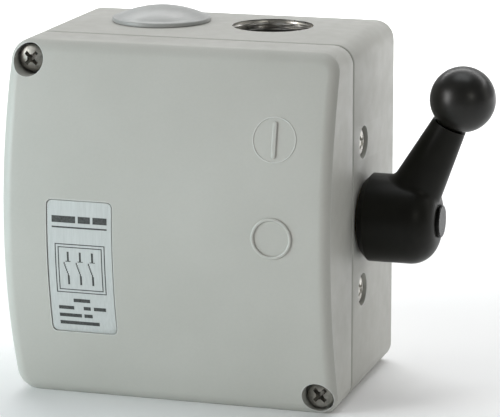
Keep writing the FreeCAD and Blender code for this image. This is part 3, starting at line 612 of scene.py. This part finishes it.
def front_cover():
    shell = boolean(cover_outer(), cover_inner(), "DIFFERENCE")
    for low, high in split_box("cover_screws"):
        middle = (low + high) / 2
        post = rod("post", Vector((middle.x, CROWN_TOP_Y, middle.z)), Y_AXIS, COVER_POST_R,
                   COVER_RIM_Y - CROWN_TOP_Y)
        shell = boolean(shell, boolean(post, cover_outer(0.3 * MM), "INTERSECT"), "UNION")
        bore = rod("bore", Vector((middle.x, CROWN_TOP_Y - MM, middle.z)), Y_AXIS, COUNTERBORE_R,
                   COUNTERBORE_FLOOR_Y - CROWN_TOP_Y + MM)
        shell = boolean(shell, bore, "DIFFERENCE")
        hole = rod("hole", Vector((middle.x, CROWN_TOP_Y, middle.z)), Y_AXIS, SCREW_HOLE_R,
                   -CROWN_TOP_Y, 48)
        shell = boolean(shell, hole, "DIFFERENCE")
    shell = boolean(shell, plate_tool(), "DIFFERENCE")
    soften(shell, 0.22 * MM)
    return dress(shell, "front_cover_shell", "root", MATERIALS["enclosure_paint"],
                 ["front_cover"])


def raised_ring(name, x, z, outer, width, height, segments=96):
    """Ring with a rounded top that stands on the crowned front."""
    section = [(0.0, EMBED), (0.0, -height * 0.55), (width * 0.18, -height * 0.9),
               (width * 0.5, -height), (width * 0.82, -height * 0.9), (width, -height * 0.55),
               (width, EMBED)]
    verts = []
    for i in range(segments):
        angle = 2 * math.pi * i / segments
        for inward, lift in section:
            radius = outer - inward
            pz = z + radius * math.sin(angle)
            verts.append(Vector((x + radius * math.cos(angle), crown_y(pz) + lift, pz)))
    rows = len(section)
    faces = []
    for i in range(segments):
        ahead = (i + 1) % segments
        for k in range(rows):
            nxt = (k + 1) % rows
            faces.append((i * rows + k, i * rows + nxt, ahead * rows + nxt, ahead * rows + k))
    return mesh_object(name, verts, faces)


def raised_bar(name, x, z, width, height, lift):
    """Bar with rounded ends and top that stands on the crowned front."""
    def ring(inset):
        return outline(width - 2 * inset, height - 2 * inset, width / 2 - inset - 0.02 * MM, x, z, 6, 8)
    loops = [on_crown(ring(0), 0, EMBED), on_crown(ring(0), 0, -lift * 0.55),
             on_crown(ring(0.12 * MM), 0, -lift * 0.88), on_crown(ring(0.3 * MM), 0, -lift)]
    return skin(name, loops)


def cover_marks():
    """The raised marks of the two switch positions, cast with the cover."""
    pieces = [
        raised_bar("mark_on_bar", MARK_X, MARK_ON_Z, ON_BAR_WIDTH, ON_BAR_LENGTH, MARK_HEIGHT),
        raised_ring("mark_on_ring", MARK_X, MARK_ON_Z, ON_RING_R, ON_RING_WIDTH, ON_RING_HEIGHT),
        raised_ring("mark_off_ring", MARK_X, MARK_OFF_Z, OFF_RING_R, OFF_RING_WIDTH, MARK_HEIGHT),
    ]
    for piece in pieces:
        piece.data.shade_smooth()
        dress(piece, piece.name, "root", MATERIALS["enclosure_paint"])


def thread_tool():
    """Threaded rod that cuts a helical thread: its radius follows the pitch round and up."""
    segments = 120
    rows_per_pitch = 10
    start = TOP_Z - ENTRY_LENGTH - MM
    rows = int((ENTRY_LENGTH + 2.5 * MM) / THREAD_PITCH * rows_per_pitch)
    loops = []
    for row in range(rows + 1):
        z = start + row * THREAD_PITCH / rows_per_pitch
        loop = []
        for i in range(segments):
            turn = i / segments
            phase = ((z - start) / THREAD_PITCH - turn) % 1.0
            ridge = min(1.0, max(0.0, 1.45 - abs(phase - 0.5) * 3.6))
            fade = min(1.0, max(0.0, (TOP_Z - 0.15 * MM - z) / (0.9 * MM)))
            radius = ENTRY_R + THREAD_DEPTH * ridge * fade
            angle = 2 * math.pi * turn
            loop.append(Vector((ENTRY.x + radius * math.cos(angle),
                                ENTRY.y + radius * math.sin(angle), z)))
        loops.append(loop)
    return skin("thread_tool", loops)


def base_outer():
    """Outer solid of the base: rim chamfer, sides and a small round at the back."""
    loops = [at_y(shrunk(side_inset(RIM_CHAMFER), 0.5), RIM_Y), at_y(side_inset(RIM_CHAMFER), RIM_Y)]
    for i in range(1, 4):
        turn = math.radians(30 * i)
        loops.append(at_y(side_inset(RIM_CHAMFER * (1 - math.sin(turn))),
                          RIM_Y + RIM_CHAMFER * (1 - math.cos(turn))))
    for i in range(4):
        turn = math.radians(30 * i)
        loops.append(at_y(side_inset(BACK_ROUND * (1 - math.cos(turn))),
                          -BACK_ROUND * (1 - math.sin(turn))))
    loops.append(at_y(shrunk(side_inset(BACK_ROUND), 0.5), 0.0))
    return skin("base_outer", loops)


def base_housing():
    cavity_ring = side_inset(BASE_WALL)
    cavity = skin("cavity", [
        at_y(shrunk(cavity_ring, 0.5), RIM_Y - MM),
        at_y(cavity_ring, RIM_Y - MM),
        at_y(cavity_ring, -BACK_WALL - 1.5 * MM),
        at_y(side_inset(BASE_WALL + 0.5 * MM), -BACK_WALL - 0.4 * MM),
        at_y(side_inset(BASE_WALL + 1.6 * MM), -BACK_WALL),
        at_y(shrunk(cavity_ring, 0.5), -BACK_WALL),
    ])
    shell = boolean(base_outer(), cavity, "DIFFERENCE")
    joins = []
    for low, high in split_box("cover_screws"):
        middle = (low + high) / 2
        joins.append(rod("post", Vector((middle.x, RIM_Y + 0.2 * MM, middle.z)), Y_AXIS,
                         COVER_POST_R - 0.1 * MM, -RIM_Y - 1.2 * MM))
    for x in (ENTRY.x, PLUG_CENTRE.x):
        joins.append(rod("boss", Vector((x, ENTRY.y, TOP_Z - ENTRY_LENGTH)), Z_AXIS, ENTRY_BOSS_R,
                         ENTRY_LENGTH - MM))
    for tool in joins:
        shell = boolean(shell, tool, "UNION")
    cuts = [thread_tool(),
            rod("plug_bore", Vector((PLUG_CENTRE.x, ENTRY.y, 0)), Z_AXIS, ENTRY_R, TOP_Z + MM),
            rod("bush_bore", Vector((BUSH_LOW.x, SHAFT.y, SHAFT.z)), X_AXIS, BUSH_BORE_R, 8 * MM)]
    for low, high in split_box("side_screw_seals"):
        middle = (low + high) / 2
        cuts.append(rod("recess", Vector((SIDE_RECESS_X, middle.y, middle.z)), X_AXIS,
                        SIDE_RECESS_R, 8 * MM))
    for x in (-FIXING_X, FIXING_X):
        for z in (-FIXING_Z, FIXING_Z):
            cuts.append(rod("fixing", Vector((x, -BACK_WALL - MM, z)), Y_AXIS, FIXING_R,
                            BACK_WALL + 2 * MM, 48))
    for tool in cuts:
        shell = boolean(shell, tool, "DIFFERENCE")
    shell.data.materials.append(MATERIALS["enclosure_paint"])
    shell.data.materials.append(MATERIALS["tapped_aluminium"])
    for face in shell.data.polygons:
        middle = face.center
        from_axis = math.hypot(middle.x - ENTRY.x, middle.y - ENTRY.y)
        in_bore = from_axis < ENTRY_R + THREAD_DEPTH + 0.2 * MM and middle.z < TOP_Z - 0.02 * MM
        if in_bore and middle.z > TOP_Z - ENTRY_LENGTH - 0.1 * MM:
            face.material_index = 1
    soften(shell, 0.15 * MM, 2, 40)
    return dress(shell, "base_housing_shell", "root", MATERIALS["enclosure_paint"],
                 ["base_housing"])


# Fasteners, plug and plate ---------------------------------------------------------------------

def cross_tool(tip, axis, width, depth, slot):
    """Tapered cross that cuts a driver recess."""
    side = axis.orthogonal().normalized()
    other = axis.cross(side).normalized()
    tool = None
    for along, across in ((side, other), (other, side)):
        levels = ((0.4 * MM, width, slot), (0.0, width, slot),
                  (-depth * 0.55, width * 0.74, slot * 0.85), (-depth, width * 0.34, slot * 0.6))
        loops = []
        for level, length, breadth in levels:
            corners = ((1, 1), (-1, 1), (-1, -1), (1, -1))
            loops.append([tip + axis * level + along * (sa * length / 2) + across * (sb * breadth / 2)
                          for sa, sb in corners])
        wing = skin("wing", loops)
        tool = wing if tool is None else boolean(tool, wing, "UNION")
    core = lathe("core", [(0, -depth), (slot * 0.5, -depth), (slot * 1.05, 0), (slot * 1.05, 0.4 * MM),
                          (0, 0.4 * MM)], tip, axis, 32)
    return boolean(tool, core, "UNION")


def screw_head(name, seat, axis, radius, height, shank_r, shank):
    """Pan head with a cross recess, a fine edge round the top and a plain shank."""
    edge = height * 0.38
    profile = [(0, -shank), (shank_r - 0.3 * MM, -shank), (shank_r, -shank + 0.3 * MM),
               (shank_r, 0), (radius, 0), (radius, height * 0.45)]
    profile += arc((radius - edge, height * 0.45), edge, 8, 62, 6)
    last_radius, last_height = profile[-1]
    for i in range(1, 9):
        share = i / 8
        rise = (height - last_height) * math.sin(share * math.pi / 2)
        profile.append((last_radius * (1 - share), last_height + rise))
    head = lathe(name, profile, seat, axis, 72)
    cross = cross_tool(seat + axis * height, axis, radius * 1.30, height * 0.80, radius * 0.29)
    head = boolean(head, cross, "DIFFERENCE")
    soften(head, 0.07 * MM, 2, 30)
    return head


def washer(name, seat, axis, radius, hole, height):
    """Flat rubber ring with rounded edges under a screw head."""
    edge = height * 0.35
    profile = [(hole, 0), (radius - edge, 0)]
    profile += arc((radius - edge, edge), edge, -90, 0, 3)
    profile += arc((radius - edge, height - edge), edge, 0, 90, 3)
    profile += [(hole, height)]
    side = axis.orthogonal().normalized()
    other = axis.cross(side).normalized()
    segments = 64
    rows = len(profile)
    verts = []
    faces = []
    for i in range(segments):
        angle = 2 * math.pi * i / segments
        spoke = side * math.cos(angle) + other * math.sin(angle)
        verts += [seat + spoke * r + axis * h for r, h in profile]
        ahead = (i + 1) % segments
        for k in range(rows):
            nxt = (k + 1) % rows
            faces.append((i * rows + k, i * rows + nxt, ahead * rows + nxt, ahead * rows + k))
    ring = mesh_object(name, verts, faces)
    ring.data.shade_smooth()
    ring.data.set_sharp_from_angle(angle=math.radians(50))
    return ring


def visible_screws(node, seal_node, prefix, axis, steel="screw_steel"):
    """Screws and their seals, each in the place of its CAD solid."""
    facing = 0 if axis == X_AXIS else 1
    outward = axis[facing]
    screws = []
    seals = []
    pairs = zip(sorted_boxes(node), sorted_boxes(seal_node))
    for index, ((low, high), (seal_low, seal_high)) in enumerate(pairs):
        middle = (seal_low + seal_high) / 2
        tip = high[facing] if outward > 0 else low[facing]
        far_end = low[facing] if outward > 0 else high[facing]
        seat_at = seal_high[facing] if outward > 0 else seal_low[facing]
        floor_at = seal_low[facing] if outward > 0 else seal_high[facing]
        seat = middle.copy()
        seat[facing] = seat_at
        floor = middle.copy()
        floor[facing] = floor_at
        radius = (high[2] - low[2]) / 2
        screws.append(screw_head(f"{prefix}_{index + 1}", seat, axis, radius, abs(tip - seat_at),
                                 SCREW_SHANK_R, abs(far_end - seat_at)))
        seals.append(washer(f"{prefix}_seal_{index + 1}", floor, axis,
                            (seal_high[2] - seal_low[2]) / 2, SEAL_HOLE_R, abs(seat_at - floor_at)))
    for number, (screw, seal) in enumerate(zip(screws, seals)):
        first = number == 0
        dress(screw, screw.name, "root", MATERIALS[steel], [node] if first else ())
        dress(seal, seal.name, "root", MATERIALS["seal_rubber"],
              [seal_node] if first else ())


def sorted_boxes(node):
    return sorted(split_box(node), key=lambda pair: pair[0].z)


def blanking_plug():
    """Domed plug with a thin rim and a hollow shank."""
    radius = (PLUG_HIGH.x - PLUG_LOW.x) / 2
    dome = PLUG_HIGH.z - TOP_Z - PLUG_RIM
    shank = TOP_Z - PLUG_LOW.z
    inner = ENTRY_R - 2.5 * MM
    profile = [(0, -0.3 * MM), (inner, -0.3 * MM), (inner, -shank), (ENTRY_R - 0.25 * MM, -shank)]
    profile += [(ENTRY_R - 0.05 * MM, -shank + 0.3 * MM), (ENTRY_R - 0.05 * MM, 0.02 * MM)]
    profile += [(radius - 0.25 * MM, 0.02 * MM), (radius, 0.22 * MM),
                (radius, PLUG_RIM - PLUG_RIM_ROUND)]
    profile += arc((radius - PLUG_RIM_ROUND, PLUG_RIM - PLUG_RIM_ROUND), PLUG_RIM_ROUND, 15, 80, 5)
    reach = radius - 0.9 * MM
    ball_r = (dome ** 2 + reach ** 2) / (2 * dome)
    steps = 18
    for i in range(steps + 1):
        share = reach * (1 - i / steps)
        profile.append((share, PLUG_RIM + dome - ball_r + math.sqrt(ball_r ** 2 - share ** 2)))
    foot = Vector((PLUG_CENTRE.x, PLUG_CENTRE.y, TOP_Z))
    plug = lathe("blanking_plug_dome", profile, foot, Z_AXIS, 128)
    plug.data.shade_smooth()
    plug.data.set_sharp_from_angle(angle=math.radians(38))
    dress(plug, "blanking_plug_dome", "root", MATERIALS["plug_plastic"],
          ["blanking_plug"])


def nameplate():
    """Crowned foil plate in its recess, with a printed frame, contact diagram and plain lines."""
    centre = plate_centre()
    width = PLATE_HIGH.x - PLATE_LOW.x
    height = PLATE_HIGH.z - PLATE_LOW.z
    ring = outline(width, height, PLATE_CORNER_R, *centre, side_steps=12, corner_steps=6)
    bevel = 0.08 * MM
    edge = outline(width - 2 * bevel, height - 2 * bevel, PLATE_CORNER_R - bevel, *centre,
                   side_steps=12, corner_steps=6)
    loops = [on_crown(shrunk(ring, 0.5, centre), 0, PLATE_RECESS), on_crown(ring, 0, PLATE_RECESS),
             on_crown(ring, 0, PLATE_SINK + 0.06 * MM), on_crown(edge, 0, PLATE_SINK)]
    loops += cap_loops(edge, 0, 10, centre, PLATE_SINK)
    plate = skin("nameplate_foil", loops)
    plate.data.shade_smooth()
    plate.data.set_sharp_from_angle(angle=math.radians(35))
    dress(plate, "nameplate_foil", "root", MATERIALS["plate_foil"], ["nameplate"])
    plate_print(centre, width, height)


def print_strip(x0, x1, z0, z1, lift):
    """Thin printed rectangle that follows the crown, as (verts, faces)."""
    rows = max(2, int((z1 - z0) / (1.0 * MM)) + 2)
    verts = []
    for depth in (lift, lift + PRINT_THICKNESS):
        for row in range(rows):
            z = z0 + (z1 - z0) * row / (rows - 1)
            verts += [Vector((x0, crown_y(z) + depth, z)), Vector((x1, crown_y(z) + depth, z))]
    faces = []
    back = 2 * rows
    for row in range(rows - 1):
        a = 2 * row
        faces += [(a, a + 1, a + 3, a + 2), (back + a, back + a + 2, back + a + 3, back + a + 1),
                  (a, a + 2, back + a + 2, back + a), (a + 1, back + a + 1, back + a + 3, a + 3)]
    last = 2 * (rows - 1)
    faces += [(0, back, back + 1, 1), (last, last + 1, back + last + 1, back + last)]
    return verts, faces


def plate_print(centre, width, height):
    """Generic print: a contact diagram and rows of plain bars, with no lettering."""
    x, z = centre
    lift = PLATE_SINK - PRINT_LIFT
    strips = []

    def bar(u0, u1, v0, v1):
        strips.append(print_strip(x + u0 * width / 2, x + u1 * width / 2, z + v0 * height / 2,
                                  z + v1 * height / 2, lift))

    def frame_lines(half_u, v0, v1, line_u, line_v):
        bar(-half_u, half_u, v1 - line_v, v1)
        bar(-half_u, half_u, v0, v0 + line_v)
        bar(-half_u, -half_u + line_u, v0 + line_v, v1 - line_v)
        bar(half_u - line_u, half_u, v0 + line_v, v1 - line_v)

    for start, end in ((-0.86, -0.12), (-0.04, 0.34), (0.42, 0.86)):
        bar(start, end, 0.675, 0.775)
    bar(-0.86, 0.86, 0.595, 0.618)
    frame_lines(0.78, -0.39, 0.36, 0.030, 0.014)
    frame_lines(0.69, -0.345, 0.315, 0.030, 0.014)
    for pole in (-1, 0, 1):
        u = 0.38 * pole
        bar(u - 0.030, u + 0.030, 0.10, 0.24)
        bar(u - 0.030, u + 0.030, -0.26, -0.12)
        bar(u - 0.08, u + 0.08, 0.088, 0.10)
        for step in range(6):
            left = u - 0.14 + 0.022 * step
            low = 0.045 - 0.033 * step
            bar(left, left + 0.035, low, low + 0.035)
    for start, end, v in ((-0.28, 0.24, -0.535), (-0.76, -0.28, -0.655), (0.02, 0.24, -0.655),
                          (0.34, 0.72, -0.655), (-0.76, -0.06, -0.775), (0.02, 0.28, -0.775),
                          (-0.76, 0.48, -0.895)):
        bar(start, end, v, v + 0.055)
    verts = []
    faces = []
    for strip_verts, strip_faces in strips:
        offset = len(verts)
        verts += strip_verts
        faces += [tuple(offset + i for i in face) for face in strip_faces]
    dress(mesh_object("nameplate_print", verts, faces), "nameplate_print", "root",
          MATERIALS["plate_ink"])


# Kept CAD pieces -------------------------------------------------------------------------------

def cad_pieces():
    """Gives every CAD node its shading and the material of its slot."""
    slots = {part["node"]: part["material_slot"] for part in frame["record"]["subparts"]}
    for node, slot in slots.items():
        obj = smooth_cad(node)
        obj.data.materials.clear()
        obj.data.materials.append(MATERIALS[slot])


# Studio ----------------------------------------------------------------------------------------

def area_light(name, place, target, size, power, colour):
    data = bpy.data.lights.new(name, "AREA")
    data.shape = "RECTANGLE"
    data.size, data.size_y = size
    data.energy = power
    data.color = colour
    obj = bpy.data.objects.new(name, data)
    bpy.context.scene.collection.objects.link(obj)
    obj.location = place
    obj.rotation_euler = (Vector(target) - Vector(place)).to_track_quat("-Z", "Y").to_euler()


def studio():
    """Pale paper sweep, a dim even sky and soft lights placed round the switch."""
    floor_z = BASE_LOW.z - 0.02 * MM
    size = 6.0
    sweep_at = 1.5
    sweep_r = 1.5
    rows = [(-size, floor_z), (sweep_at, floor_z)]
    for step in range(1, 9):
        turn = step * math.pi / 16
        rows.append((sweep_at + sweep_r * math.sin(turn), floor_z + sweep_r * (1 - math.cos(turn))))
    rows.append((sweep_at + sweep_r, floor_z + size))
    verts = []
    faces = []
    for y, z in rows:
        verts += [(-size, y, z), (size, y, z)]
    for i in range(len(rows) - 1):
        faces.append((2 * i, 2 * i + 1, 2 * i + 3, 2 * i + 2))
    floor = mesh_object("studio_floor", verts, faces)
    floor.data.shade_smooth()
    n = Nodes("studio_paper")
    n.link(n.ramp(n.noise(6.0, 2.0), (0.90, 0.90, 0.90), (0.92, 0.92, 0.92)),
           n.shader.inputs["Base Color"])
    n.set(Roughness=0.8)
    floor.data.materials.append(n.material)

    world = bpy.data.worlds.new("studio_world")
    bpy.context.scene.world = world
    world.use_nodes = True
    background = world.node_tree.nodes["Background"]
    background.inputs["Color"].default_value = (0.97, 0.985, 1.0, 1)
    background.inputs["Strength"].default_value = 0.20

    middle = (0.0, -0.03, 0.0)
    area_light("key", (-1.0, -1.0, 0.30), middle, (0.6, 0.8), 12.6, (1.0, 0.99, 0.985))
    area_light("window", (-0.34, -0.24, -0.01), middle, (0.16, 0.20), 0.64, (0.56, 0.92, 1.0))
    area_light("fill", (1.2, 0.35, 0.36), middle, (0.5, 0.8), 0.9, (1.0, 0.98, 0.90))
    area_light("edge", (0.9, -0.9, 0.45), middle, (0.3, 0.4), 1.1, (1.0, 0.98, 0.90))
    area_light("top", (0.0, 0.1, 1.3), (0.0, 0.1, 0.0), (0.9, 0.7), 4.6, (0.95, 0.985, 1.0))
    area_light("backdrop", (0.0, 0.9, 0.9), (0.0, 1.4, 0.0), (2.6, 0.8), 46, (1.0, 1.0, 1.0))


def camera():
    """The photograph's viewing angle: a long lens, a little to the right and above."""
    azimuth = math.radians(16.97)
    elevation = math.radians(12.98)
    roll = math.radians(-0.12)
    distance = 0.8314
    target = Vector((3.6 * MM, 0, -7.8 * MM))
    back = Vector((math.sin(azimuth) * math.cos(elevation), -math.cos(azimuth) * math.cos(elevation),
                   math.sin(elevation)))
    data = bpy.data.cameras.new("photo_camera")
    data.sensor_width = 36.0
    data.lens = 200.2
    data.clip_start = 0.05
    data.clip_end = 50.0
    obj = bpy.data.objects.new("photo_camera", data)
    bpy.context.scene.collection.objects.link(obj)
    turn = (-back).to_track_quat("-Z", "Y").to_matrix().to_4x4()
    place = Matrix.Translation(target + back * distance)
    obj.matrix_world = place @ turn @ Matrix.Rotation(roll, 4, "Z")
    bpy.context.scene.camera = obj
    bpy.context.scene.view_settings.view_transform = "Standard"


camera()
studio()
cad_pieces()
front_cover()
cover_marks()
base_housing()
visible_screws("cover_screws", "cover_screw_seals", "cover_screw", -Y_AXIS)
visible_screws("side_fixing_screws", "side_screw_seals", "side_screw", X_AXIS, "bright_steel")
blanking_plug()
nameplate()
